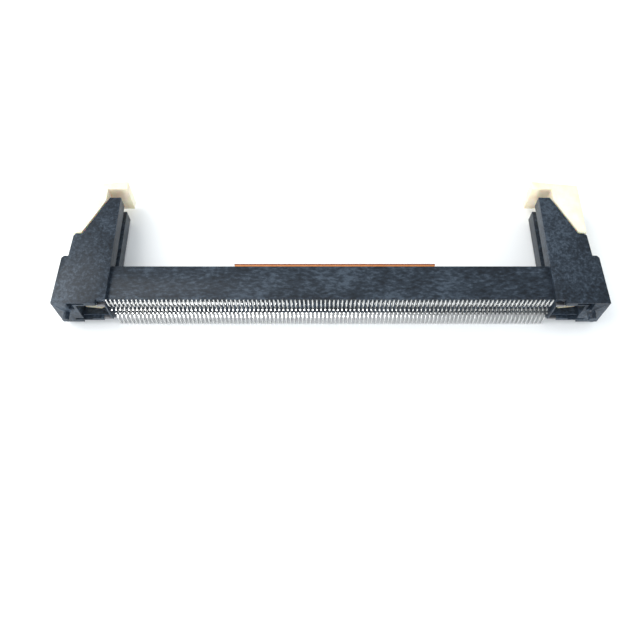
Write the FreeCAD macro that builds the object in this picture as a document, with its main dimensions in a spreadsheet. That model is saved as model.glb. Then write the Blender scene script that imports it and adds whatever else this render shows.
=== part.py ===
# Straight memory slot connector with two ejector latches, lying on its back.
#
# X runs along the card slot, +Y is the way the card leaves the slot, +Z comes out of the front face.
# The origin is the middle of the footprint: the board's surface is the plane Y = 0, and Z = 0 is
# the middle of the connector's thickness. All sizes are millimetres.

import FreeCAD
import Part
import os
import Sketcher

doc = FreeCAD.newDocument("MemorySlotConnector")
sheet = doc.addObject("Spreadsheet::Sheet", "Sizes")

DRIVING_SIZES = [
    ("pitch", 0.6, "distance from one contact to the next"),
    ("field_end_margin", 0.6, "from the middle of the last contact pair to the tower"),
    ("row_stagger", 0.3, "front row to the left of the back row"),
    ("bar_bottom", 1.1, "stand-off of the bar over the board"),
    ("bar_top", 6.5, "card entry face"),
    ("bar_thickness", 4.2, "front to back"),
    ("slot_floor", 2.4, "where the card's edge comes to rest"),
    ("slot_width", 1.3, "card slot, for a card 1.0 thick"),
    ("key_width", 1.6, "rib that fits the notch in the card's edge"),
    ("card_edge_margin", 2.6, "from the last contact pair to the card's side edge"),
    ("card_clearance", 0.4, "between the card's side edge and the latch"),
    ("groove_width", 0.36, "contact groove"),
    ("groove_outer", 1.65, "from the middle plane to the bottom of the groove"),
    ("short_groove_top", 2.2, "blind grooves below the key"),
    ("tower_thickness", 5.8, "front to back"),
    ("tower_height", 18.2, "over the board"),
    ("tower_foot_width", 7.6, "along the slot at the board"),
    ("tower_draft", 0.3, "lean of the foot's outer side"),
    ("low_shoulder_height", 7.85, "first step of the outer side"),
    ("low_shoulder_width", 0.95, "first step"),
    ("mid_draft", 0.2, "lean between the steps"),
    ("high_shoulder_height", 11.7, "second step"),
    ("high_shoulder_width", 1.25, "second step"),
    ("crown_width", 1.7, "flat top of the tower"),
    ("shoulder_cut", 0.35, "corner cut of each step"),
    ("guide_width", 1.5, "card guide in the tower"),
    ("cavity_width", 2.8, "room for the latch between the tower's walls"),
    ("cavity_roof", 5.6, "top of the room that the ejector foot sweeps"),
    ("cavity_end_wall", 1.1, "tower wall outside the pivot"),
    ("cavity_floor", 1.6, "tower floor under the pivot"),
    ("window_inner", 0.2, "from the tower's inner side to the window in its underside"),
    ("window_length", 4.1, "window in the tower's underside"),
    ("window_step", 0.7, "the window's wider mouth, towards the front and the back"),
    ("window_step_height", 0.5, "the same mouth"),
    ("pivot_inset", 4.8, "from the tower's inner side to the pivot"),
    ("pivot_height", 3.4, "pivot over the board"),
    ("trunnion_radius", 0.9, "latch pivot"),
    ("trunnion_clearance", 0.05, "radial, in the tower's bores"),
    ("trunnion_span", 4.4, "over both ends"),
    ("trunnion_end_gap", 0.1, "from a trunnion's end to the bottom of its bore"),
    ("open_angle", 30.0, "latch swing in degrees"),
    ("stop_gap", 0.12, "left between the open latch and its stop"),
    ("lever_thickness", 2.6, "latch lever"),
    ("lever_edge_gap", 0.15, "between the lever and the bottom of the card guide"),
    ("lever_outer_reach", 1.1, "lever's outer edge beyond the pivot"),
    ("boss_radius", 1.5, "round end of the lever"),
    ("foot_tip_gap", 0.4, "from the window's end to the ejector foot"),
    ("foot_top_gap", 0.1, "from the resting card to the ejector foot"),
    ("foot_depth", 0.95, "height of the ejector foot"),
    ("foot_nose", 1.1, "slanted underside at the foot's tip"),
    ("foot_rise", 0.25, "rise of the foot's top and underside towards the lever"),
    ("heel_inset", 0.8, "heel of the foot, short of the pivot"),
    ("thumb_thickness", 5.2, "thumb block of the latch"),
    ("thumb_outer_reach", 1.6, "thumb block's outer side beyond the pivot"),
    ("thumb_gap", 0.45, "between the thumb block and the tower's slope"),
    ("thumb_bottom_gap", 0.3, "over the tower's upper step"),
    ("hook_root", 2.35, "inner side of the thumb block from the tower's inner side"),
    ("hook_lift", 1.9, "hook over the tower's top"),
    ("hook_height", 1.4, "hook at its inner end, which holds the card by its side notch"),
    ("thumb_fall", 0.8, "fall of the thumb block's top to its outer side"),
    ("hook_overhang", 0.6, "hook beyond the tower's inner side"),
    ("tail_reach", 3.7, "soldered tip from the middle plane"),
    ("tail_thickness", 0.18, "soldered foot"),
    ("tail_flat", 0.5, "level underside of the soldered foot"),
    ("contact_thickness", 0.2, "sheet of the contacts"),
    ("leg_width", 0.3, "leg where it leaves the bar for the soldered foot"),
    ("short_base_top", 2.1, "top of the short contacts at the key"),
    ("stub_inner", 0.75, "cut-off stub, inner side from the middle plane"),
    ("stub_width", 0.22, "cut-off stub"),
    ("stub_bottom", 0.9, "cut-off stub over the board"),
    ("beam_root", 2.5, "foot of the spring beam over the board"),
    ("beam_width", 0.45, "spring beam at its root"),
    ("knuckle_height", 4.9, "point that wipes the card"),
    ("knuckle_inner", 0.42, "that point from the middle plane"),
    ("knuckle_width", 0.43, "beam at that point"),
    ("tip_height", 5.9, "free end of the beam"),
    ("tip_offset", 1.05, "free end from the middle plane"),
    ("notch_length", 1.4, "recess for the solder clip beside the bar"),
    ("notch_height", 0.66, "the same recess"),
    ("clip_inset", 0.12, "solder clip from the tower's inner side"),
    ("clip_width", 1.2, "solder clip"),
    ("clip_sheet", 0.25, "sheet of the solder clips"),
    ("clip_height", 3.0, "solder clip's tab"),
    ("clip_plane", 1.78, "tab from the middle plane"),
    ("clip_foot", 1.08, "foot of the solder clip, front to back"),
    ("clip_play", 0.03, "round the tab in its slot"),
    ("slot_inset", 3.0, "underside slots from the tower's inner side"),
    ("slot_length", 2.5, "underside slots"),
    ("slot_rim", 0.14, "wall left outside the front slot"),
    ("slot_breadth", 0.42, "underside slots, front to back"),
    ("slot_height", 1.1, "underside slots"),
    ("rear_slot_place", 1.95, "middle of the rear slot from the middle plane"),
    ("sink_inset", 4.7, "sink in front of the peg, from the tower's inner side"),
    ("sink_end", 1.0, "end of that sink from the middle plane"),
    ("rear_relief", 0.55, "relief along the rear bottom edge, front to back"),
    ("rear_relief_length", 4.5, "the same relief"),
    ("rear_relief_height", 0.45, "the same relief"),
    ("left_peg_radius", 0.45, "locating peg"),
    ("right_peg_radius", 0.6, "locating peg"),
    ("peg_length", 1.2, "below the board's surface"),
    ("left_peg_inset", 6.2, "from the left tower's inner side"),
    ("right_peg_inset", 5.8, "from the right tower's inner side"),
    ("film_centre", 0.65, "pick-up film along the slot"),
    ("film_length", 29.3, "pick-up film"),
    ("film_thickness", 0.16, "pick-up film"),
    ("film_overhang", 0.05, "film beyond its adhesive"),
    ("adhesive_thickness", 0.3, "under the film"),
    ("adhesive_inset", 0.1, "from the bar's faces"),
]

for row, (alias, number, note) in enumerate(DRIVING_SIZES, start=1):
    sheet.set(f"A{row}", alias)
    sheet.set(f"B{row}", str(number))
    sheet.set(f"C{row}", note)
    sheet.setAlias(f"B{row}", alias)
doc.recompute()

# Contact positions in one row, from the left: banks of contacts, the key's positions, banks again
LEFT_BANKS = 3
LEFT_BANK_SIZE = 12
KEY_POSITIONS = 3
RIGHT_BANKS = 6
RIGHT_BANK_SIZE = 11
LEFT_FIELD = LEFT_BANKS * LEFT_BANK_SIZE
RIGHT_FIELD = RIGHT_BANKS * RIGHT_BANK_SIZE
ROW_POSITIONS = LEFT_FIELD + KEY_POSITIONS + RIGHT_FIELD

# Places along X that several pieces share, as expressions on the sheet
FIELD_HALF = f"(Sizes.pitch * {(ROW_POSITIONS - 1) / 2})"
TOWER_INNER = f"({FIELD_HALF} + Sizes.field_end_margin)"
LATCH_EDGE = f"({FIELD_HALF} + Sizes.card_edge_margin + Sizes.card_clearance)"
PIVOT_X = f"({TOWER_INNER} + Sizes.pivot_inset)"
FOOT_OUTER = f"({TOWER_INNER} + Sizes.tower_foot_width)"
LOW_STEP_OUTER = f"({FOOT_OUTER} - Sizes.tower_draft)"
LOW_STEP_INNER = f"({LOW_STEP_OUTER} - Sizes.low_shoulder_width)"
HIGH_STEP_OUTER = f"({LOW_STEP_INNER} - Sizes.mid_draft)"
HIGH_STEP_INNER = f"({HIGH_STEP_OUTER} - Sizes.high_shoulder_width)"
CROWN_OUTER = f"({TOWER_INNER} + Sizes.crown_width)"
KEY_CENTRE = f"(Sizes.pitch * {LEFT_FIELD + (KEY_POSITIONS - 1) / 2} - {FIELD_HALF})"


def size_of(expression):
    """The number that an expression on the sheet gives now."""
    return float(sheet.evalExpression(expression))


def origin_feature(body, role):
    """A base plane or axis of the body itself."""
    return next(item for item in body.Origin.OriginFeatures if item.Role == role)


def new_sketch(body, name, plane):
    """An empty sketch on one of the body's base planes."""
    sketch = body.newObject("Sketcher::SketchObject", name)
    sketch.AttachmentSupport = (origin_feature(body, plane), "")
    sketch.MapMode = "FlatFace"
    return sketch


def pin_point(sketch, geometry, point, corner):
    """Ties both coordinates of a sketch point to their expressions."""
    for kind, expression in zip(("DistanceX", "DistanceY"), corner):
        constraint = Sketcher.Constraint(kind, geometry, point, size_of(expression))
        index = sketch.addConstraint(constraint)
        sketch.setExpression(f"Constraints[{index}]", expression)


def draw_outline(sketch, corners):
    """Adds one closed outline whose corners are pairs of expressions."""
    first = sketch.GeometryCount
    spots = [FreeCAD.Vector(size_of(across), size_of(up), 0) for across, up in corners]
    count = len(corners)
    for index in range(count):
        sketch.addGeometry(Part.LineSegment(spots[index], spots[(index + 1) % count]))
    for index in range(count):
        following = first + (index + 1) % count
        sketch.addConstraint(Sketcher.Constraint("Coincident", first + index, 2, following, 1))
    for index, corner in enumerate(corners):
        pin_point(sketch, first + index, 1, corner)


def draw_circle(sketch, centre, radius):
    """Adds a circle with its centre and radius as expressions."""
    spot = FreeCAD.Vector(size_of(centre[0]), size_of(centre[1]), 0)
    circle = Part.Circle(spot, FreeCAD.Vector(0, 0, 1), size_of(radius))
    index = sketch.addGeometry(circle)
    pin_point(sketch, index, 3, centre)
    constraint = sketch.addConstraint(Sketcher.Constraint("Radius", index, size_of(radius)))
    sketch.setExpression(f"Constraints[{constraint}]", radius)


def swept(body, kind, name, sketch, depth):
    """A pad or pocket that runs the same way to both sides of its sketch."""
    feature = body.newObject(f"PartDesign::{kind}", name)
    feature.Profile = sketch
    feature.Midplane = True
    feature.setExpression("Length", depth)
    body.Tip = feature
    return feature


def rectangle(low_across, high_across, low_up, high_up):
    """Corners of an upright rectangle."""
    return [
        (low_across, low_up),
        (high_across, low_up),
        (high_across, high_up),
        (low_across, high_up),
    ]


def outline_feature(body, kind, name, plane, outlines, depth):
    """A pad or pocket of one or more closed outlines."""
    sketch = new_sketch(body, f"{name}_sketch", plane)
    for corners in outlines:
        draw_outline(sketch, corners)
    return swept(body, kind, name, sketch, depth)


def circle_feature(body, kind, name, plane, centre, radius, depth):
    """A pad or pocket of one circle."""
    sketch = new_sketch(body, f"{name}_sketch", plane)
    draw_circle(sketch, centre, radius)
    return swept(body, kind, name, sketch, depth)


def row_of(body, name, original, count):
    """Repeats a feature along X at the contact pitch."""
    pattern = body.newObject("PartDesign::LinearPattern", name)
    pattern.Originals = [original]
    pattern.Refine = False
    pattern.Direction = (origin_feature(body, "X_Axis"), [""])
    pattern.Occurrences = count
    pattern.setExpression("Length", f"Sizes.pitch * {count - 1}")
    body.Tip = pattern
    return pattern


def new_body(label):
    """A body whose label names its file."""
    body = doc.addObject("PartDesign::Body", label)
    body.Label = label
    return body


def front_and_back(low_across, high_across, near, far):
    """Two rectangles, one in front of the middle plane and one behind it."""
    return [
        rectangle(low_across, high_across, near, far),
        rectangle(low_across, high_across, f"-({far})", f"-({near})"),
    ]


# Housing: one black moulding, the bar with the card slot and a tower at each end
housing = new_body("housing")
BAR_HALF = "(Sizes.bar_thickness / 2)"
TOWER_HALF = "(Sizes.tower_thickness / 2)"
ABOVE_ALL = "(Sizes.tower_height * 2)"
BAR_END = f"({TOWER_INNER} + Sizes.window_inner)"
outline_feature(
    housing, "Pad", "bar", "YZ_Plane",
    [rectangle("Sizes.bar_bottom", "Sizes.bar_top", f"-{BAR_HALF}", BAR_HALF)],
    f"{BAR_END} * 2",
)

# Tower at the right end; its mirror image follows at the left
tower = outline_feature(
    housing, "Pad", "tower", "XY_Plane",
    [[
        (TOWER_INNER, "0"),
        (FOOT_OUTER, "0"),
        (LOW_STEP_OUTER, "Sizes.low_shoulder_height - Sizes.shoulder_cut"),
        (f"{LOW_STEP_OUTER} - Sizes.shoulder_cut", "Sizes.low_shoulder_height"),
        (LOW_STEP_INNER, "Sizes.low_shoulder_height"),
        (HIGH_STEP_OUTER, "Sizes.high_shoulder_height - Sizes.shoulder_cut"),
        (f"{HIGH_STEP_OUTER} - Sizes.shoulder_cut", "Sizes.high_shoulder_height"),
        (HIGH_STEP_INNER, "Sizes.high_shoulder_height"),
        (CROWN_OUTER, "Sizes.tower_height"),
        (TOWER_INNER, "Sizes.tower_height"),
    ]],
    "Sizes.tower_thickness",
)

# The slot runs on into the tower's foot, and a wider guide for the card's edge above it
tower_slot = outline_feature(
    housing, "Pocket", "tower_slot", "XY_Plane",
    [rectangle(f"{TOWER_INNER} - 0.1", LATCH_EDGE, "Sizes.slot_floor", "Sizes.bar_top")],
    "Sizes.slot_width",
)
card_guide = outline_feature(
    housing, "Pocket", "card_guide", "XY_Plane",
    [rectangle(f"{TOWER_INNER} - 0.1", LATCH_EDGE, "Sizes.bar_top", ABOVE_ALL)],
    "Sizes.guide_width",
)

# Room for the latch, open under the ejector foot and open outwards above a slanted stop
STOP_REACH = "(Sizes.lever_outer_reach + Sizes.stop_gap)"
SWING = "(Sizes.open_angle * 1 deg)"
CAVITY_OUTER = f"({FOOT_OUTER} - Sizes.cavity_end_wall)"
WINDOW_INNER = f"({TOWER_INNER} + Sizes.window_inner)"
WINDOW_OUTER = f"({WINDOW_INNER} + Sizes.window_length)"
OUTSIDE = f"({FOOT_OUTER} + Sizes.cavity_end_wall)"


def stop_height(across):
    """Height of the slanted stop at a place along X."""
    run = f"({across} - {PIVOT_X} - {STOP_REACH} * cos({SWING}))"
    return f"Sizes.pivot_height - {STOP_REACH} * sin({SWING}) + {run} / tan({SWING})"


latch_cavity = outline_feature(
    housing, "Pocket", "latch_cavity", "XY_Plane",
    [[
        (WINDOW_INNER, "-1"),
        (WINDOW_OUTER, "-1"),
        (WINDOW_OUTER, "Sizes.cavity_floor"),
        (CAVITY_OUTER, "Sizes.cavity_floor"),
        (CAVITY_OUTER, stop_height(CAVITY_OUTER)),
        (OUTSIDE, stop_height(OUTSIDE)),
        (OUTSIDE, ABOVE_ALL),
        (LATCH_EDGE, ABOVE_ALL),
        (LATCH_EDGE, "Sizes.cavity_roof"),
        (WINDOW_INNER, "Sizes.cavity_roof"),
    ]],
    "Sizes.cavity_width",
)
trunnion_bores = circle_feature(
    housing, "Pocket", "trunnion_bores", "XY_Plane",
    (PIVOT_X, "Sizes.pivot_height"),
    "Sizes.trunnion_radius + Sizes.trunnion_clearance",
    "Sizes.trunnion_span + Sizes.trunnion_end_gap * 2",
)

# Underside of the tower: the window's mouth, the solder clips' places, and slots that keep the walls thin
window_mouth = outline_feature(
    housing, "Pocket", "window_mouth", "XZ_Plane",
    [rectangle(
        WINDOW_INNER, WINDOW_OUTER,
        "-Sizes.cavity_width / 2 - Sizes.window_step / 2",
        "Sizes.cavity_width / 2 + Sizes.window_step",
    )],
    "Sizes.window_step_height * 2",
)
CLIP_LEFT = f"({TOWER_INNER} + Sizes.clip_inset)"
CLIP_RIGHT = f"({CLIP_LEFT} + Sizes.clip_width)"
clip_recess = outline_feature(
    housing, "Pocket", "clip_recess", "XZ_Plane",
    front_and_back(
        f"{TOWER_INNER} - 0.1",
        f"{TOWER_INNER} + Sizes.notch_length",
        "Sizes.clip_plane + Sizes.clip_sheet",
        f"{TOWER_HALF} + 1",
    ),
    "Sizes.notch_height * 2",
)
clip_slots = outline_feature(
    housing, "Pocket", "clip_slots", "XZ_Plane",
    front_and_back(
        f"{CLIP_LEFT} - Sizes.clip_play",
        f"{CLIP_RIGHT} + Sizes.clip_play",
        "Sizes.clip_plane - Sizes.clip_play",
        "Sizes.clip_plane + Sizes.clip_sheet + Sizes.clip_play",
    ),
    "(Sizes.clip_height + Sizes.clip_play) * 2",
)
SLOT_LEFT = f"({TOWER_INNER} + Sizes.slot_inset)"
SLOT_RIGHT = f"({SLOT_LEFT} + Sizes.slot_length)"
FRONT_SLOT_OUT = f"({TOWER_HALF} - Sizes.slot_rim)"
FRONT_SLOT_IN = f"({FRONT_SLOT_OUT} - Sizes.slot_breadth)"
front_slot = outline_feature(
    housing, "Pocket", "front_slot", "XZ_Plane",
    [[
        (SLOT_LEFT, FRONT_SLOT_OUT),
        (SLOT_RIGHT, FRONT_SLOT_OUT),
        (SLOT_RIGHT, "Sizes.sink_end"),
        (f"{TOWER_INNER} + Sizes.sink_inset", "Sizes.sink_end"),
        (f"{TOWER_INNER} + Sizes.sink_inset", FRONT_SLOT_IN),
        (SLOT_LEFT, FRONT_SLOT_IN),
    ]],
    "Sizes.slot_height * 2",
)
rear_slot = outline_feature(
    housing, "Pocket", "rear_slot", "XZ_Plane",
    [rectangle(
        SLOT_LEFT, SLOT_RIGHT,
        "-Sizes.rear_slot_place - Sizes.slot_breadth / 2",
        "-Sizes.rear_slot_place + Sizes.slot_breadth / 2",
    )],
    "Sizes.slot_height * 2",
)
rear_relief = outline_feature(
    housing, "Pocket", "rear_relief", "XZ_Plane",
    [rectangle(
        f"{TOWER_INNER} - 0.1",
        f"{TOWER_INNER} + Sizes.rear_relief_length",
        f"-{TOWER_HALF} - 1",
        f"-({TOWER_HALF} - Sizes.rear_relief)",
    )],
    "Sizes.rear_relief_height * 2",
)
mirrored = housing.newObject("PartDesign::Mirrored", "left_tower")
mirrored.Originals = [
    tower, tower_slot, card_guide, latch_cavity, trunnion_bores, window_mouth,
    clip_recess, clip_slots, front_slot, rear_slot, rear_relief,
]
mirrored.MirrorPlane = (origin_feature(housing, "YZ_Plane"), [""])
housing.Tip = mirrored


def add_peg(name, centre_x, radius):
    """A locating peg under a tower, of its own size so that the part fits the board one way round."""
    circle_feature(
        housing, "Pad", name, "XZ_Plane", (centre_x, "0"), radius, "Sizes.peg_length * 2"
    )


add_peg("left_peg", f"-({TOWER_INNER} + Sizes.left_peg_inset)", "Sizes.left_peg_radius")
add_peg("right_peg", f"{TOWER_INNER} + Sizes.right_peg_inset", "Sizes.right_peg_radius")

# Card slot, in two lengths with the key rib left standing between them
KEY_LEFT = f"{KEY_CENTRE} - Sizes.key_width / 2"
KEY_RIGHT = f"{KEY_CENTRE} + Sizes.key_width / 2"
outline_feature(
    housing, "Pocket", "card_slot", "XY_Plane",
    [
        rectangle(f"-{BAR_END} - 1", KEY_LEFT, "Sizes.slot_floor", ABOVE_ALL),
        rectangle(KEY_RIGHT, f"{BAR_END} + 1", "Sizes.slot_floor", ABOVE_ALL),
    ],
    "Sizes.slot_width",
)


def groove_sketch_at(position):
    """One pair of grooves, in front of the slot and, staggered, behind it, at a contact position."""
    outlines = []
    for side in (1, -1):
        centre = f"(Sizes.pitch * {position} - {FIELD_HALF} - {side} * Sizes.row_stagger / 2)"
        outlines.append(rectangle(
            f"{centre} - Sizes.groove_width / 2",
            f"{centre} + Sizes.groove_width / 2",
            f"{side} * Sizes.slot_width / 2",
            f"{side} * Sizes.groove_outer",
        ))
    return outlines


left_groove = outline_feature(
    housing, "Pocket", "left_groove", "XZ_Plane", groove_sketch_at(0), ABOVE_ALL
)
row_of(housing, "left_grooves", left_groove, LEFT_FIELD)
key_groove = outline_feature(
    housing, "Pocket", "key_groove", "XZ_Plane",
    groove_sketch_at(LEFT_FIELD), "Sizes.short_groove_top * 2",
)
row_of(housing, "key_grooves", key_groove, KEY_POSITIONS)
right_groove = outline_feature(
    housing, "Pocket", "right_groove", "XZ_Plane",
    groove_sketch_at(LEFT_FIELD + KEY_POSITIONS), ABOVE_ALL,
)
row_of(housing, "right_grooves", right_groove, RIGHT_FIELD)

# Latches: ivory levers that turn on their own trunnions in the tower walls
LEVER_INNER = f"({LATCH_EDGE} + Sizes.lever_edge_gap)"
LEVER_OUTER = f"({PIVOT_X} + Sizes.lever_outer_reach)"
THUMB_OUTER = f"({PIVOT_X} + Sizes.thumb_outer_reach)"
HOOK_INNER = f"({TOWER_INNER} - Sizes.hook_overhang)"
FOOT_TIP = f"({WINDOW_INNER} + Sizes.foot_tip_gap)"
FOOT_TOP = "(Sizes.slot_floor - Sizes.foot_top_gap)"
FOOT_UNDERSIDE = f"({FOOT_TOP} - Sizes.foot_depth)"
THUMB_BOTTOM = "(Sizes.high_shoulder_height + Sizes.thumb_bottom_gap)"
SLOPE = f"(({HIGH_STEP_INNER} - {CROWN_OUTER}) / (Sizes.tower_height - Sizes.high_shoulder_height))"
SLOPE_START = f"({CROWN_OUTER} + Sizes.thumb_gap)"
THUMB_INNER = f"({TOWER_INNER} + Sizes.hook_root)"
HOOK_BOTTOM = "(Sizes.tower_height + Sizes.hook_lift)"
HOOK_TOP = f"({HOOK_BOTTOM} + Sizes.hook_height)"


def on_side(side, corners):
    """The corners as they are at the right, or mirrored for the left."""
    return [(f"{side} * ({across})", up) for across, up in corners]


def make_latch(label, side):
    """One latch: lever with its ejector foot, thumb block with the hook, and trunnions."""
    latch = new_body(label)
    lever = [
        (LEVER_INNER, HOOK_BOTTOM),
        (LEVER_INNER, f"{FOOT_TOP} + Sizes.foot_rise"),
        (FOOT_TIP, FOOT_TOP),
        (FOOT_TIP, f"{FOOT_TOP} - Sizes.foot_depth * 0.4"),
        (f"{FOOT_TIP} + Sizes.foot_nose", FOOT_UNDERSIDE),
        (f"{PIVOT_X} - Sizes.heel_inset", f"{FOOT_UNDERSIDE} + Sizes.foot_rise"),
        (LEVER_OUTER, "Sizes.pivot_height"),
        (LEVER_OUTER, THUMB_BOTTOM),
        (LEVER_OUTER, HOOK_BOTTOM),
    ]
    outline_feature(
        latch, "Pad", f"{label}_lever", "XY_Plane",
        [on_side(side, lever)], "Sizes.lever_thickness",
    )
    pivot = (f"{side} * {PIVOT_X}", "Sizes.pivot_height")
    circle_feature(
        latch, "Pad", f"{label}_boss", "XY_Plane",
        pivot, "Sizes.boss_radius", "Sizes.lever_thickness",
    )
    thumb = [
        (f"{SLOPE_START} + (Sizes.tower_height - {THUMB_BOTTOM}) * {SLOPE}", THUMB_BOTTOM),
        (THUMB_OUTER, THUMB_BOTTOM),
        (THUMB_OUTER, f"{HOOK_TOP} - Sizes.thumb_fall"),
        (HOOK_INNER, HOOK_TOP),
        (HOOK_INNER, HOOK_BOTTOM),
        (THUMB_INNER, HOOK_BOTTOM),
        (THUMB_INNER, f"Sizes.tower_height - ({THUMB_INNER} - {SLOPE_START}) / {SLOPE}"),
    ]
    outline_feature(
        latch, "Pad", f"{label}_thumb", "XY_Plane",
        [on_side(side, thumb)], "Sizes.thumb_thickness",
    )
    circle_feature(
        latch, "Pad", f"{label}_trunnions", "XY_Plane",
        pivot, "Sizes.trunnion_radius", "Sizes.trunnion_span",
    )


make_latch("latch_left", -1)
make_latch("latch_right", 1)

# Contacts: stamped from sheet, edge on to the slot, pushed up into their grooves from below
LEG_INNER = "(Sizes.groove_outer - Sizes.leg_width)"
STUB_OUTER = "(Sizes.stub_inner + Sizes.stub_width)"
TAIL = [
    ("Sizes.stub_bottom", "Sizes.stub_inner"),
    ("Sizes.stub_bottom", STUB_OUTER),
    ("Sizes.bar_bottom", LEG_INNER),
    ("0", "Sizes.tail_reach - Sizes.tail_flat"),
    ("0", "Sizes.tail_reach"),
    ("Sizes.tail_thickness", "Sizes.tail_reach"),
    ("Sizes.bar_bottom", "Sizes.groove_outer"),
]
BEAM = [
    ("Sizes.beam_root", "Sizes.groove_outer"),
    ("Sizes.knuckle_height", "Sizes.knuckle_inner + Sizes.knuckle_width"),
    ("Sizes.tip_height", "Sizes.tip_offset"),
    ("Sizes.knuckle_height", "Sizes.knuckle_inner"),
    ("Sizes.beam_root", "Sizes.groove_outer - Sizes.beam_width"),
]
SHORT_BASE = [
    ("Sizes.short_base_top", "Sizes.groove_outer"),
    ("Sizes.short_base_top", "Sizes.groove_outer - Sizes.beam_width"),
]


def make_bank(label, side, start, count, upper):
    """A bank of equal contacts, each a solid of its own."""
    bank = new_body(label)
    outline = [(up, f"{side} * ({out})") for up, out in TAIL + upper]
    blank = outline_feature(
        bank, "Pad", f"{label}_blank", "YZ_Plane", [outline], "Sizes.contact_thickness"
    )
    row_of(bank, f"{label}_row", blank, count)
    place = f"Sizes.pitch * {start} - {FIELD_HALF} - {side} * Sizes.row_stagger / 2"
    bank.setExpression("Placement.Base.x", place)


for row_name, row_side in (("front", 1), ("back", -1)):
    for number in range(LEFT_BANKS):
        make_bank(
            f"contacts_{row_name}_left_{number + 1}", row_side,
            number * LEFT_BANK_SIZE, LEFT_BANK_SIZE, BEAM,
        )
    make_bank(f"contacts_{row_name}_key", row_side, LEFT_FIELD, KEY_POSITIONS, SHORT_BASE)
    for number in range(RIGHT_BANKS):
        make_bank(
            f"contacts_{row_name}_right_{number + 1}", row_side,
            LEFT_FIELD + KEY_POSITIONS + number * RIGHT_BANK_SIZE, RIGHT_BANK_SIZE, BEAM,
        )

# Solder clips: bent from sheet, the tab pressed up into the tower and the foot on the board
CLIP_OUTLINE = [
    ("0", "Sizes.clip_plane"),
    ("0", "Sizes.clip_plane + Sizes.clip_foot"),
    ("Sizes.clip_sheet", "Sizes.clip_plane + Sizes.clip_foot"),
    ("Sizes.clip_sheet", "Sizes.clip_plane + Sizes.clip_sheet"),
    ("Sizes.clip_height", "Sizes.clip_plane + Sizes.clip_sheet"),
    ("Sizes.clip_height", "Sizes.clip_plane"),
]
for row_name, row_side in (("front", 1), ("back", -1)):
    for end_name, end_side in (("left", -1), ("right", 1)):
        clip_label = f"solder_clip_{row_name}_{end_name}"
        clip = new_body(clip_label)
        clip_corners = [(up, f"{row_side} * ({out})") for up, out in CLIP_OUTLINE]
        outline_feature(
            clip, "Pad", f"{clip_label}_blank", "YZ_Plane", [clip_corners], "Sizes.clip_width"
        )
        clip.setExpression("Placement.Base.x", f"{end_side} * ({CLIP_LEFT} + {CLIP_RIGHT}) / 2")

# Pick-up film and its adhesive, across the card entry
ADHESIVE_HALF = f"({BAR_HALF} - Sizes.adhesive_inset)"
FILM_HALF = f"({ADHESIVE_HALF} + Sizes.film_overhang)"
ADHESIVE_TOP = "(Sizes.bar_top + Sizes.adhesive_thickness)"


def make_strip(label, low, high, half_width, length):
    """A flat strip over the entry face, centred on the film's place along the slot."""
    strip = new_body(label)
    outline_feature(
        strip, "Pad", f"{label}_strip", "YZ_Plane",
        [rectangle(low, high, f"-{half_width}", half_width)], length,
    )
    strip.setExpression("Placement.Base.x", "Sizes.film_centre")


make_strip(
    "pickup_adhesive", "Sizes.bar_top", ADHESIVE_TOP, ADHESIVE_HALF,
    "Sizes.film_length - Sizes.film_overhang * 2",
)
make_strip(
    "pickup_film", ADHESIVE_TOP, f"{ADHESIVE_TOP} + Sizes.film_thickness", FILM_HALF,
    "Sizes.film_length",
)

doc.recompute()

# Every object has to be sound before anything is written
faults = []
for item in doc.Objects:
    if "Invalid" in item.State or "Error" in item.State:
        faults.append(f"{item.Label}: {item.State}")
bodies = [item for item in doc.Objects if item.TypeId == "PartDesign::Body"]
for body in bodies:
    if body.Shape.isNull() or not body.Shape.isValid():
        faults.append(f"{body.Label}: shape is null or invalid")
if len(housing.Shape.Solids) != 1:
    faults.append("housing is not one solid")
if faults:
    raise RuntimeError("; ".join(faults))

os.makedirs("parts", exist_ok=True)
for body in bodies:
    body.Shape.exportStep(f"parts/{body.Label}.step")
    print(body.Label, len(body.Shape.Solids), round(body.Shape.Volume, 3))
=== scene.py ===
import math

import bmesh
import bpy
from mathutils import Matrix, Vector


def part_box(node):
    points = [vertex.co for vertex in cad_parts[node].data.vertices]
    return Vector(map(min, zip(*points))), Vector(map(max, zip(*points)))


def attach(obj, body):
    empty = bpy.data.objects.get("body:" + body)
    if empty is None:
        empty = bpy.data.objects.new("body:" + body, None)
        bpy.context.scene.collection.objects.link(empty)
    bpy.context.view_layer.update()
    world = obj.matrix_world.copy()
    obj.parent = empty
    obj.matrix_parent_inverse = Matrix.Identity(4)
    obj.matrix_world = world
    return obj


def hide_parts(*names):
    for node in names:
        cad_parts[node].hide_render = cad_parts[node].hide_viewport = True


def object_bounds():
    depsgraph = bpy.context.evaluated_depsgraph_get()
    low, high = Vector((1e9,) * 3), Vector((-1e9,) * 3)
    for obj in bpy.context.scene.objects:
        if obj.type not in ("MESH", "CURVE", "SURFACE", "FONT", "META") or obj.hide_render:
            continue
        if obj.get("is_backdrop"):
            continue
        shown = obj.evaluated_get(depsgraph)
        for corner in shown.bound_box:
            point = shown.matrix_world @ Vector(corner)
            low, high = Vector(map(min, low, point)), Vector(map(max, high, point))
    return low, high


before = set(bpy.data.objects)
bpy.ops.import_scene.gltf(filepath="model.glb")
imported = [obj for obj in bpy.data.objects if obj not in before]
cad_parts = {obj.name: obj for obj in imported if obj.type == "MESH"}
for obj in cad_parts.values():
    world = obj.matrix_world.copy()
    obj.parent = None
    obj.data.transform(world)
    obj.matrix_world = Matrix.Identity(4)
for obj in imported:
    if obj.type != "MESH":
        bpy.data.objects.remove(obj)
cad_low, cad_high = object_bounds()
MM = 0.001

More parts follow.
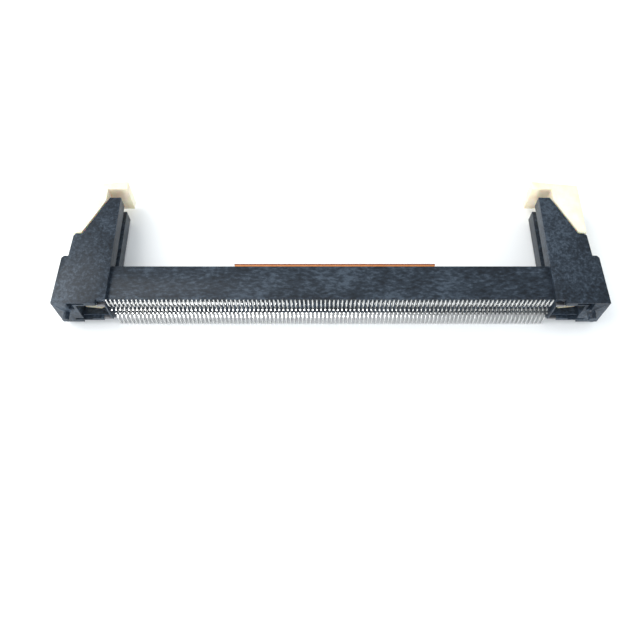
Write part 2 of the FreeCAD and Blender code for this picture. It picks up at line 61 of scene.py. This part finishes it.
# Camera of the photograph. It looks down on the connector's front face from the side of the solder
# tails, 27 degrees off the upright, so the towers spread apart towards their tops.
bpy.ops.object.select_all(action="DESELECT")
CAMERA_PLACE = (-1.5 * MM, -45.1 * MM, 87.7 * MM)
CAMERA_TILT = math.radians(26.6)
bpy.ops.object.camera_add(location=CAMERA_PLACE, rotation=(CAMERA_TILT, 0, 0))
camera = bpy.context.object
camera.name = "photo_camera"
camera.data.sensor_width = 36
camera.data.lens = 38.475
camera.data.clip_start = 0.005
camera.data.clip_end = 10
bpy.context.scene.camera = camera
bpy.context.scene.view_settings.view_transform = "Standard"

# White sheet under the connector, which lies on the tips of its back tails. It glows a little for
# the camera alone, so that the background stays white and keeps the soft shadows.
SHEET_SIZE = 3
SHEET_GAP = 0.02 * MM
bpy.ops.mesh.primitive_plane_add(size=SHEET_SIZE, location=(0, 0, cad_low.z - SHEET_GAP))
sheet = bpy.context.object
sheet.name = "white_sheet"
sheet_white = bpy.data.materials.new("white_sheet")
sheet_white.use_nodes = True
nodes = sheet_white.node_tree.nodes
links = sheet_white.node_tree.links
paper = nodes["Principled BSDF"]
paper.inputs["Base Color"].default_value = (0.93, 0.93, 0.93, 1)
paper.inputs["Roughness"].default_value = 0.9
paper.inputs["Specular IOR Level"].default_value = 0.1
paper.inputs["Emission Color"].default_value = (1, 1, 1, 1)
ray = nodes.new("ShaderNodeLightPath")
glow = nodes.new("ShaderNodeMath")
glow.operation = "MULTIPLY"
CAMERA_GLOW = 0.03
glow.inputs[1].default_value = CAMERA_GLOW
links.new(ray.outputs["Is Camera Ray"], glow.inputs[0])
links.new(glow.outputs[0], paper.inputs["Emission Strength"])
sheet.data.materials.append(sheet_white)
sheet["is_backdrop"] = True

# Light of a white room, with a broad soft lamp at the upper left, which puts a faint shadow to the
# right of each tower, and a low lamp in front that reaches under the bar. A third lamp adds to the
# gloss alone, which fades from left to right. Seen directly, the room is plain white.
world = bpy.context.scene.world or bpy.data.worlds.new("room")
bpy.context.scene.world = world
world.use_nodes = True
nodes = world.node_tree.nodes
links = world.node_tree.links
nodes.clear()
sky = nodes.new("ShaderNodeBackground")
sky.inputs["Color"].default_value = (0.9, 0.96, 1.0, 1)
white = nodes.new("ShaderNodeBackground")
white.inputs["Color"].default_value = (1, 1, 1, 1)
ray = nodes.new("ShaderNodeLightPath")
seen = nodes.new("ShaderNodeMath")
seen.operation = "MAXIMUM"
dimmed = nodes.new("ShaderNodeMath")
dimmed.operation = "MULTIPLY_ADD"
ROOM_STRENGTH = 1.02
GLOSS_STRENGTH = 0.4
dimmed.inputs[1].default_value = GLOSS_STRENGTH - ROOM_STRENGTH
dimmed.inputs[2].default_value = ROOM_STRENGTH
choice = nodes.new("ShaderNodeMixShader")
world_out = nodes.new("ShaderNodeOutputWorld")
links.new(ray.outputs["Is Camera Ray"], seen.inputs[0])
links.new(ray.outputs["Is Transmission Ray"], seen.inputs[1])
links.new(seen.outputs[0], choice.inputs[0])
links.new(ray.outputs["Is Glossy Ray"], dimmed.inputs[0])
links.new(dimmed.outputs[0], sky.inputs["Strength"])
links.new(sky.outputs[0], choice.inputs[1])
links.new(white.outputs[0], choice.inputs[2])
links.new(choice.outputs[0], world_out.inputs[0])


def soft_lamp(name, place, width, watts, colour):
    """A square lamp that faces the middle of the connector."""
    bpy.ops.object.light_add(type="AREA", location=place)
    lamp = bpy.context.object
    lamp.name = name
    lamp.data.size = width
    lamp.data.energy = watts
    lamp.data.color = colour
    target = Vector((0, 10 * MM, 0))
    aim = target - Vector(place)
    lamp.rotation_euler = aim.to_track_quat("-Z", "Y").to_euler()
    return lamp


WINDOW_PLACE = (-0.17, 0.05, 0.2)
WINDOW_WIDTH = 0.24
soft_lamp("window_lamp", WINDOW_PLACE, WINDOW_WIDTH, 0.5, (1.0, 0.99, 0.97))
soft_lamp("front_lamp", (-0.04, -0.26, 0.07), 0.12, 0.6, (0.96, 0.98, 1.0))
sheen = soft_lamp("sheen_lamp", WINDOW_PLACE, WINDOW_WIDTH, 0.45, (0.9, 0.96, 1.0))
sheen.visible_diffuse = False


# Housing: one moulding of dark, glass-filled plastic, matt, with pale swirls where the melt flowed
# and fine streaks along the bar. Its outer edges are slightly rounded by the mould.
def merged_copy(node, name):
    """A new piece with the shape of a CAD node, its loose triangles joined into flat faces."""
    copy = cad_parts[node].copy()
    copy.data = copy.data.copy()
    copy.name = name
    copy.data.name = name
    copy.parent = None
    copy.matrix_world = Matrix.Identity(4)
    bpy.context.collection.objects.link(copy)
    copy.data.materials.clear()
    shape = bmesh.new()
    shape.from_mesh(copy.data)
    same_point = 0.002 * MM
    same_plane = math.radians(1)
    bmesh.ops.remove_doubles(shape, verts=shape.verts, dist=same_point)
    bmesh.ops.dissolve_limit(
        shape, angle_limit=same_plane, verts=shape.verts, edges=shape.edges,
        use_dissolve_boundaries=False,
    )
    shape.to_mesh(copy.data)
    shape.free()
    return copy


def rounded_edges(piece, width, keep=lambda a, b: True):
    """Rounds the sharp edges of a piece that the test lets through, by a bevel modifier."""
    sharp = math.radians(30)
    smooth = math.radians(32)
    shape = bmesh.new()
    shape.from_mesh(piece.data)
    weights = shape.edges.layers.float.new("bevel_weight_edge")
    for edge in shape.edges:
        if len(edge.link_faces) == 2 and edge.calc_face_angle(0) > sharp:
            if keep(edge.verts[0].co, edge.verts[1].co):
                edge[weights] = 1.0
    shape.to_mesh(piece.data)
    shape.free()
    bevel = piece.modifiers.new("rounded_edges", "BEVEL")
    bevel.limit_method = "WEIGHT"
    bevel.width = width
    bevel.segments = 2
    bevel.use_clamp_overlap = True
    bevel.harden_normals = False
    bpy.ops.object.select_all(action="DESELECT")
    bpy.context.view_layer.objects.active = piece
    piece.select_set(True)
    bpy.ops.object.modifier_apply(modifier=bevel.name)
    bpy.ops.object.shade_smooth_by_angle(angle=smooth)
    piece.select_set(False)


def housing_plastic():
    """Dark slate plastic: swirls of the melt, streaks along the bar, fine grain and specks."""
    material = bpy.data.materials.new("housing_plastic")
    material.use_nodes = True
    nodes = material.node_tree.nodes
    links = material.node_tree.links
    plastic = nodes["Principled BSDF"]
    place = nodes.new("ShaderNodeTexCoord")

    cloud = nodes.new("ShaderNodeTexNoise")
    cloud.inputs["Scale"].default_value = 190
    cloud.inputs["Detail"].default_value = 5
    cloud.inputs["Roughness"].default_value = 0.6
    links.new(place.outputs["Object"], cloud.inputs["Vector"])
    swirl = nodes.new("ShaderNodeTexNoise")
    swirl.inputs["Scale"].default_value = 2100
    swirl.inputs["Detail"].default_value = 5
    swirl.inputs["Roughness"].default_value = 0.7
    swirl.inputs["Distortion"].default_value = 0.4
    links.new(place.outputs["Object"], swirl.inputs["Vector"])

    along = nodes.new("ShaderNodeMapping")
    along.inputs["Scale"].default_value = (0.45, 1, 1)
    streak = nodes.new("ShaderNodeTexNoise")
    streak.inputs["Scale"].default_value = 2300
    streak.inputs["Detail"].default_value = 5
    streak.inputs["Roughness"].default_value = 0.7
    links.new(place.outputs["Object"], along.inputs["Vector"])
    links.new(along.outputs[0], streak.inputs["Vector"])

    grain = nodes.new("ShaderNodeTexNoise")
    grain.inputs["Scale"].default_value = 6500
    grain.inputs["Detail"].default_value = 3
    links.new(place.outputs["Object"], grain.inputs["Vector"])

    # The streaks belong to the bar, the swirls to the towers beyond its ends
    split = nodes.new("ShaderNodeSeparateXYZ")
    links.new(place.outputs["Object"], split.inputs[0])
    reach = nodes.new("ShaderNodeMath")
    reach.operation = "ABSOLUTE"
    links.new(split.outputs["X"], reach.inputs[0])
    on_bar = nodes.new("ShaderNodeMath")
    on_bar.operation = "LESS_THAN"
    on_bar.inputs[1].default_value = 31.85 * MM
    links.new(reach.outputs[0], on_bar.inputs[0])
    blend = nodes.new("ShaderNodeMix")
    blend.data_type = "FLOAT"
    links.new(on_bar.outputs[0], blend.inputs["Factor"])
    links.new(swirl.outputs[0], blend.inputs[2])
    links.new(streak.outputs[0], blend.inputs[3])

    tone = nodes.new("ShaderNodeValToRGB")
    tone.color_ramp.elements[0].position = 0.4
    tone.color_ramp.elements[0].color = (0.007, 0.011, 0.017, 1)
    tone.color_ramp.elements[1].position = 0.6
    tone.color_ramp.elements[1].color = (0.048, 0.066, 0.09, 1)
    middle = tone.color_ramp.elements.new(0.5)
    middle.color = (0.017, 0.026, 0.039, 1)
    patchy = nodes.new("ShaderNodeMix")
    patchy.data_type = "FLOAT"
    patchy.inputs["Factor"].default_value = 0.4
    links.new(blend.outputs[0], patchy.inputs[2])
    links.new(cloud.outputs[0], patchy.inputs[3])
    links.new(patchy.outputs[0], tone.inputs[0])
    speck = nodes.new("ShaderNodeMix")
    speck.data_type = "RGBA"
    speck.blend_type = "OVERLAY"
    speck.inputs["Factor"].default_value = 0.35
    links.new(tone.outputs[0], speck.inputs[6])
    links.new(grain.outputs[0], speck.inputs[7])
    links.new(speck.outputs[2], plastic.inputs["Base Color"])

    rough = nodes.new("ShaderNodeMapRange")
    rough.inputs["To Min"].default_value = 0.42
    rough.inputs["To Max"].default_value = 0.66
    links.new(blend.outputs[0], rough.inputs["Value"])
    links.new(rough.outputs[0], plastic.inputs["Roughness"])
    bump = nodes.new("ShaderNodeBump")
    bump.inputs["Strength"].default_value = 0.35
    bump.inputs["Distance"].default_value = 0.00003
    links.new(grain.outputs[0], bump.inputs["Height"])
    links.new(bump.outputs[0], plastic.inputs["Normal"])
    plastic.inputs["Specular IOR Level"].default_value = 0.22
    plastic.inputs["Coat Weight"].default_value = 0.25
    plastic.inputs["Coat Roughness"].default_value = 0.25
    return material


def outer_edge(a, b):
    """True for the edges of the towers and the bar, but not for the contact grooves."""
    bar_reach = 31.75 * MM
    groove_reach = 1.7 * MM
    shortest = 0.25 * MM
    middle = (a + b) / 2
    in_groove = abs(middle.z) < groove_reach and abs(middle.x) < bar_reach
    return not in_groove and (a - b).length > shortest


housing = merged_copy("housing", "housing_moulding")
HOUSING_ROUNDING = 0.07 * MM
rounded_edges(housing, HOUSING_ROUNDING, outer_edge)
housing.data.materials.append(housing_plastic())
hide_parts("housing")
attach(housing, "root")

# Contacts: stamped from copper sheet, edge on to the slot, and plated with bright tin. Each has a
# tail that runs out over the board, a straight stub with a pointed tip where its carrier was cut
# off, and a spring beam in the slot, apart from the short ones at the key.
contact_tin = bpy.data.materials.new("contact_tin")
contact_tin.use_nodes = True
nodes = contact_tin.node_tree.nodes
links = contact_tin.node_tree.links
tin = nodes["Principled BSDF"]
tin.inputs["Metallic"].default_value = 1.0
place = nodes.new("ShaderNodeTexCoord")
cloud = nodes.new("ShaderNodeTexNoise")
cloud.inputs["Scale"].default_value = 2600
cloud.inputs["Detail"].default_value = 3
links.new(place.outputs["Object"], cloud.inputs["Vector"])
tone = nodes.new("ShaderNodeValToRGB")
tone.color_ramp.elements[0].color = (0.5, 0.5, 0.49, 1)
tone.color_ramp.elements[1].color = (0.86, 0.86, 0.84, 1)
links.new(cloud.outputs[0], tone.inputs[0])
links.new(tone.outputs[0], tin.inputs["Base Color"])
rough = nodes.new("ShaderNodeMapRange")
rough.inputs["To Min"].default_value = 0.2
rough.inputs["To Max"].default_value = 0.42
links.new(cloud.outputs[0], rough.inputs["Value"])
links.new(rough.outputs[0], tin.inputs["Roughness"])


def stamped(name, corners, low_x, high_x):
    """A piece of sheet: its outline drawn corner by corner across the slot, filled, thickened."""
    bpy.ops.object.select_all(action="DESELECT")
    bpy.ops.mesh.primitive_plane_add(size=MM)
    piece = bpy.context.object
    piece.name = name
    piece.data.name = name
    bpy.ops.object.mode_set(mode="EDIT")
    bpy.ops.mesh.select_mode(type="VERT")
    bpy.ops.mesh.select_all(action="SELECT")
    bpy.ops.mesh.merge(type="CENTER")
    up, out = corners[0]
    bpy.ops.transform.translate(value=(low_x, up * MM, out * MM))
    for (up_before, out_before), (up, out) in zip(corners, corners[1:]):
        step = (0, (up - up_before) * MM, (out - out_before) * MM)
        bpy.ops.mesh.extrude_vertices_move(TRANSFORM_OT_translate={"value": step})
    bpy.ops.mesh.select_all(action="SELECT")
    bpy.ops.mesh.edge_face_add()
    bpy.ops.mesh.extrude_region_move(TRANSFORM_OT_translate={"value": (high_x - low_x, 0, 0)})
    bpy.ops.mesh.select_all(action="SELECT")
    bpy.ops.mesh.normals_make_consistent(inside=False)
    bpy.ops.object.mode_set(mode="OBJECT")
    return piece


CONTACT_SHEET = 0.17 * MM
CONTACT_PITCH = 0.6 * MM
CAD_SHEET = 0.2 * MM
# Outline of a contact, height over the board and distance from the middle plane, in millimetres
STUB_AND_TAIL = [
    (1.1, 0.68), (1.02, 0.42), (0.18, 0.37), (0.06, 0.52), (0.18, 0.69), (0.95, 0.72),
    (1.1, 0.95), (1.15, 1.3), (0.36, 1.38), (0.1, 1.7), (0, 2.2), (0, 3.7), (0.12, 3.7),
    (0.18, 3.62), (0.18, 2.35), (0.3, 1.9), (0.55, 1.67), (1.15, 1.65),
]
SPRING_BEAM = [(2.5, 1.65), (4.9, 0.85), (5.9, 1.05), (4.9, 0.42), (2.5, 1.2)]
SHORT_BASE = [(2.1, 1.65), (2.1, 1.2)]

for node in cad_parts:
    if node.startswith("contacts_"):
        side = 1 if "front" in node else -1
        upper = SHORT_BASE if node.endswith("key") else SPRING_BEAM
        outline = [(up, side * out) for up, out in STUB_AND_TAIL + upper]
        low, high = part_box(node)
        first = low.x + CAD_SHEET / 2
        bank = stamped(
            node.replace("contacts_", "contact_bank_"), outline,
            first - CONTACT_SHEET / 2, first + CONTACT_SHEET / 2,
        )
        row = bank.modifiers.new("row", "ARRAY")
        row.count = 1 + round((high.x - low.x - CAD_SHEET) / CONTACT_PITCH)
        row.use_relative_offset = False
        row.use_constant_offset = True
        row.constant_offset_displace = (CONTACT_PITCH, 0, 0)
        bpy.ops.object.modifier_apply(modifier=row.name)
        bank.data.materials.append(contact_tin)
        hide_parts(node)
        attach(bank, "root")

# Solder clips: bent from thin tinned sheet, duller than the contacts, pressed up into the towers
# beside the ends of the bar, with a foot on the board.
clip_tin = bpy.data.materials.new("clip_tin")
clip_tin.use_nodes = True
nodes = clip_tin.node_tree.nodes
links = clip_tin.node_tree.links
dull = nodes["Principled BSDF"]
dull.inputs["Metallic"].default_value = 1.0
place = nodes.new("ShaderNodeTexCoord")
cloud = nodes.new("ShaderNodeTexNoise")
cloud.inputs["Scale"].default_value = 1800
cloud.inputs["Detail"].default_value = 4
links.new(place.outputs["Object"], cloud.inputs["Vector"])
tone = nodes.new("ShaderNodeValToRGB")
tone.color_ramp.elements[0].color = (0.12, 0.12, 0.13, 1)
tone.color_ramp.elements[1].color = (0.32, 0.32, 0.33, 1)
links.new(cloud.outputs[0], tone.inputs[0])
links.new(tone.outputs[0], dull.inputs["Base Color"])
rough = nodes.new("ShaderNodeMapRange")
rough.inputs["To Min"].default_value = 0.35
rough.inputs["To Max"].default_value = 0.6
links.new(cloud.outputs[0], rough.inputs["Value"])
links.new(rough.outputs[0], dull.inputs["Roughness"])

CLIP_ROUNDING = 0.04 * MM
# Outline of a clip, height over the board and distance from the middle plane, in millimetres
CLIP_OUTLINE = [
    (0.05, 1.78), (0.05, 2.15), (0.25, 2.15), (0.25, 2.03), (2.9, 2.03), (3.0, 1.95), (3.0, 1.78),
]
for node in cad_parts:
    if node.startswith("solder_clip_"):
        side = 1 if "front" in node else -1
        low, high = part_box(node)
        outline = [(up, side * out) for up, out in CLIP_OUTLINE]
        clip = stamped(node.replace("solder_clip", "bent_clip"), outline, low.x, high.x)
        rounded_edges(clip, CLIP_ROUNDING)
        clip.data.materials.append(clip_tin)
        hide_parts(node)
        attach(clip, "root")

# Latches: ivory nylon mouldings, satin and slightly see-through at their edges, with rounded thumb
# blocks. Each turns on its own trunnions in the tower walls.
ivory = bpy.data.materials.new("latch_ivory")
ivory.use_nodes = True
nodes = ivory.node_tree.nodes
links = ivory.node_tree.links
nylon = nodes["Principled BSDF"]
place = nodes.new("ShaderNodeTexCoord")
cloud = nodes.new("ShaderNodeTexNoise")
cloud.inputs["Scale"].default_value = 420
cloud.inputs["Detail"].default_value = 4
cloud.inputs["Roughness"].default_value = 0.6
links.new(place.outputs["Object"], cloud.inputs["Vector"])
tone = nodes.new("ShaderNodeValToRGB")
tone.color_ramp.elements[0].position = 0.3
tone.color_ramp.elements[0].color = (0.83, 0.73, 0.53, 1)
tone.color_ramp.elements[1].position = 0.7
tone.color_ramp.elements[1].color = (0.94, 0.88, 0.72, 1)
links.new(cloud.outputs[0], tone.inputs[0])
# Painted shade: the ejector foot, deep in the tower, is darkened towards the board, so it looks
# shaded beside the thumb block
split = nodes.new("ShaderNodeSeparateXYZ")
links.new(place.outputs["Object"], split.inputs[0])
painted_foot_shade = nodes.new("ShaderNodeMapRange")
painted_foot_shade.inputs["From Min"].default_value = 2 * MM
painted_foot_shade.inputs["From Max"].default_value = 5 * MM
painted_foot_shade.inputs["To Min"].default_value = 0.4
links.new(split.outputs["Y"], painted_foot_shade.inputs["Value"])
# The painted shade is multiplied into the ivory colour
shade = nodes.new("ShaderNodeMix")
shade.data_type = "RGBA"
shade.blend_type = "MULTIPLY"
shade.inputs["Factor"].default_value = 1
links.new(tone.outputs[0], shade.inputs[6])
links.new(painted_foot_shade.outputs[0], shade.inputs[7])
links.new(shade.outputs[2], nylon.inputs["Base Color"])
nylon.inputs["Roughness"].default_value = 0.42
nylon.inputs["Subsurface Weight"].default_value = 0.35
nylon.inputs["Subsurface Radius"].default_value = (1.0, 0.55, 0.2)
nylon.inputs["Subsurface Scale"].default_value = 0.0012
fine = nodes.new("ShaderNodeTexNoise")
fine.inputs["Scale"].default_value = 5000
links.new(place.outputs["Object"], fine.inputs["Vector"])
bump = nodes.new("ShaderNodeBump")
bump.inputs["Strength"].default_value = 0.2
bump.inputs["Distance"].default_value = 0.00002
links.new(fine.outputs[0], bump.inputs["Height"])
links.new(bump.outputs[0], nylon.inputs["Normal"])

LATCH_ROUNDING = 0.12 * MM
for side in ("left", "right"):
    latch = merged_copy(f"latch_{side}", f"ejector_latch_{side}")
    rounded_edges(latch, LATCH_ROUNDING)
    latch.data.materials.append(ivory)
    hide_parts(f"latch_{side}")
    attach(latch, f"latch_{side}_body")

# Pick-up film: amber polyimide, glossy, over a paler layer of adhesive, laid across the card entry
# for the machine's suction cup.
amber = bpy.data.materials.new("amber_film")
amber.use_nodes = True
nodes = amber.node_tree.nodes
links = amber.node_tree.links
film = nodes["Principled BSDF"]
place = nodes.new("ShaderNodeTexCoord")
cloud = nodes.new("ShaderNodeTexNoise")
cloud.inputs["Scale"].default_value = 500
links.new(place.outputs["Object"], cloud.inputs["Vector"])
tone = nodes.new("ShaderNodeValToRGB")
tone.color_ramp.elements[0].color = (0.15, 0.032, 0.004, 1)
tone.color_ramp.elements[1].color = (0.24, 0.056, 0.008, 1)
links.new(cloud.outputs[0], tone.inputs[0])
links.new(tone.outputs[0], film.inputs["Base Color"])
film.inputs["Roughness"].default_value = 0.25
film.inputs["Specular IOR Level"].default_value = 0.25

glue = bpy.data.materials.new("film_adhesive")
glue.use_nodes = True
nodes = glue.node_tree.nodes
links = glue.node_tree.links
soft = nodes["Principled BSDF"]
place = nodes.new("ShaderNodeTexCoord")
cloud = nodes.new("ShaderNodeTexNoise")
cloud.inputs["Scale"].default_value = 900
links.new(place.outputs["Object"], cloud.inputs["Vector"])
tone = nodes.new("ShaderNodeValToRGB")
tone.color_ramp.elements[0].color = (0.5, 0.17, 0.05, 1)
tone.color_ramp.elements[1].color = (0.66, 0.28, 0.1, 1)
links.new(cloud.outputs[0], tone.inputs[0])
links.new(tone.outputs[0], soft.inputs["Base Color"])
soft.inputs["Roughness"].default_value = 0.5
soft.inputs["Specular IOR Level"].default_value = 0.2

STRIP_ROUNDING = 0.04 * MM
for node, name, finish, slot in (
    ("pickup_film", "amber_strip", amber, "polyimide_film"),
    ("pickup_adhesive", "adhesive_strip", glue, "film_adhesive"),
):
    strip = merged_copy(node, name)
    rounded_edges(strip, STRIP_ROUNDING)
    strip.data.materials.append(finish)
    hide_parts(node)
    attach(strip, "root")

# Sizes of the CAD model and of the dressed one
low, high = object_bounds()
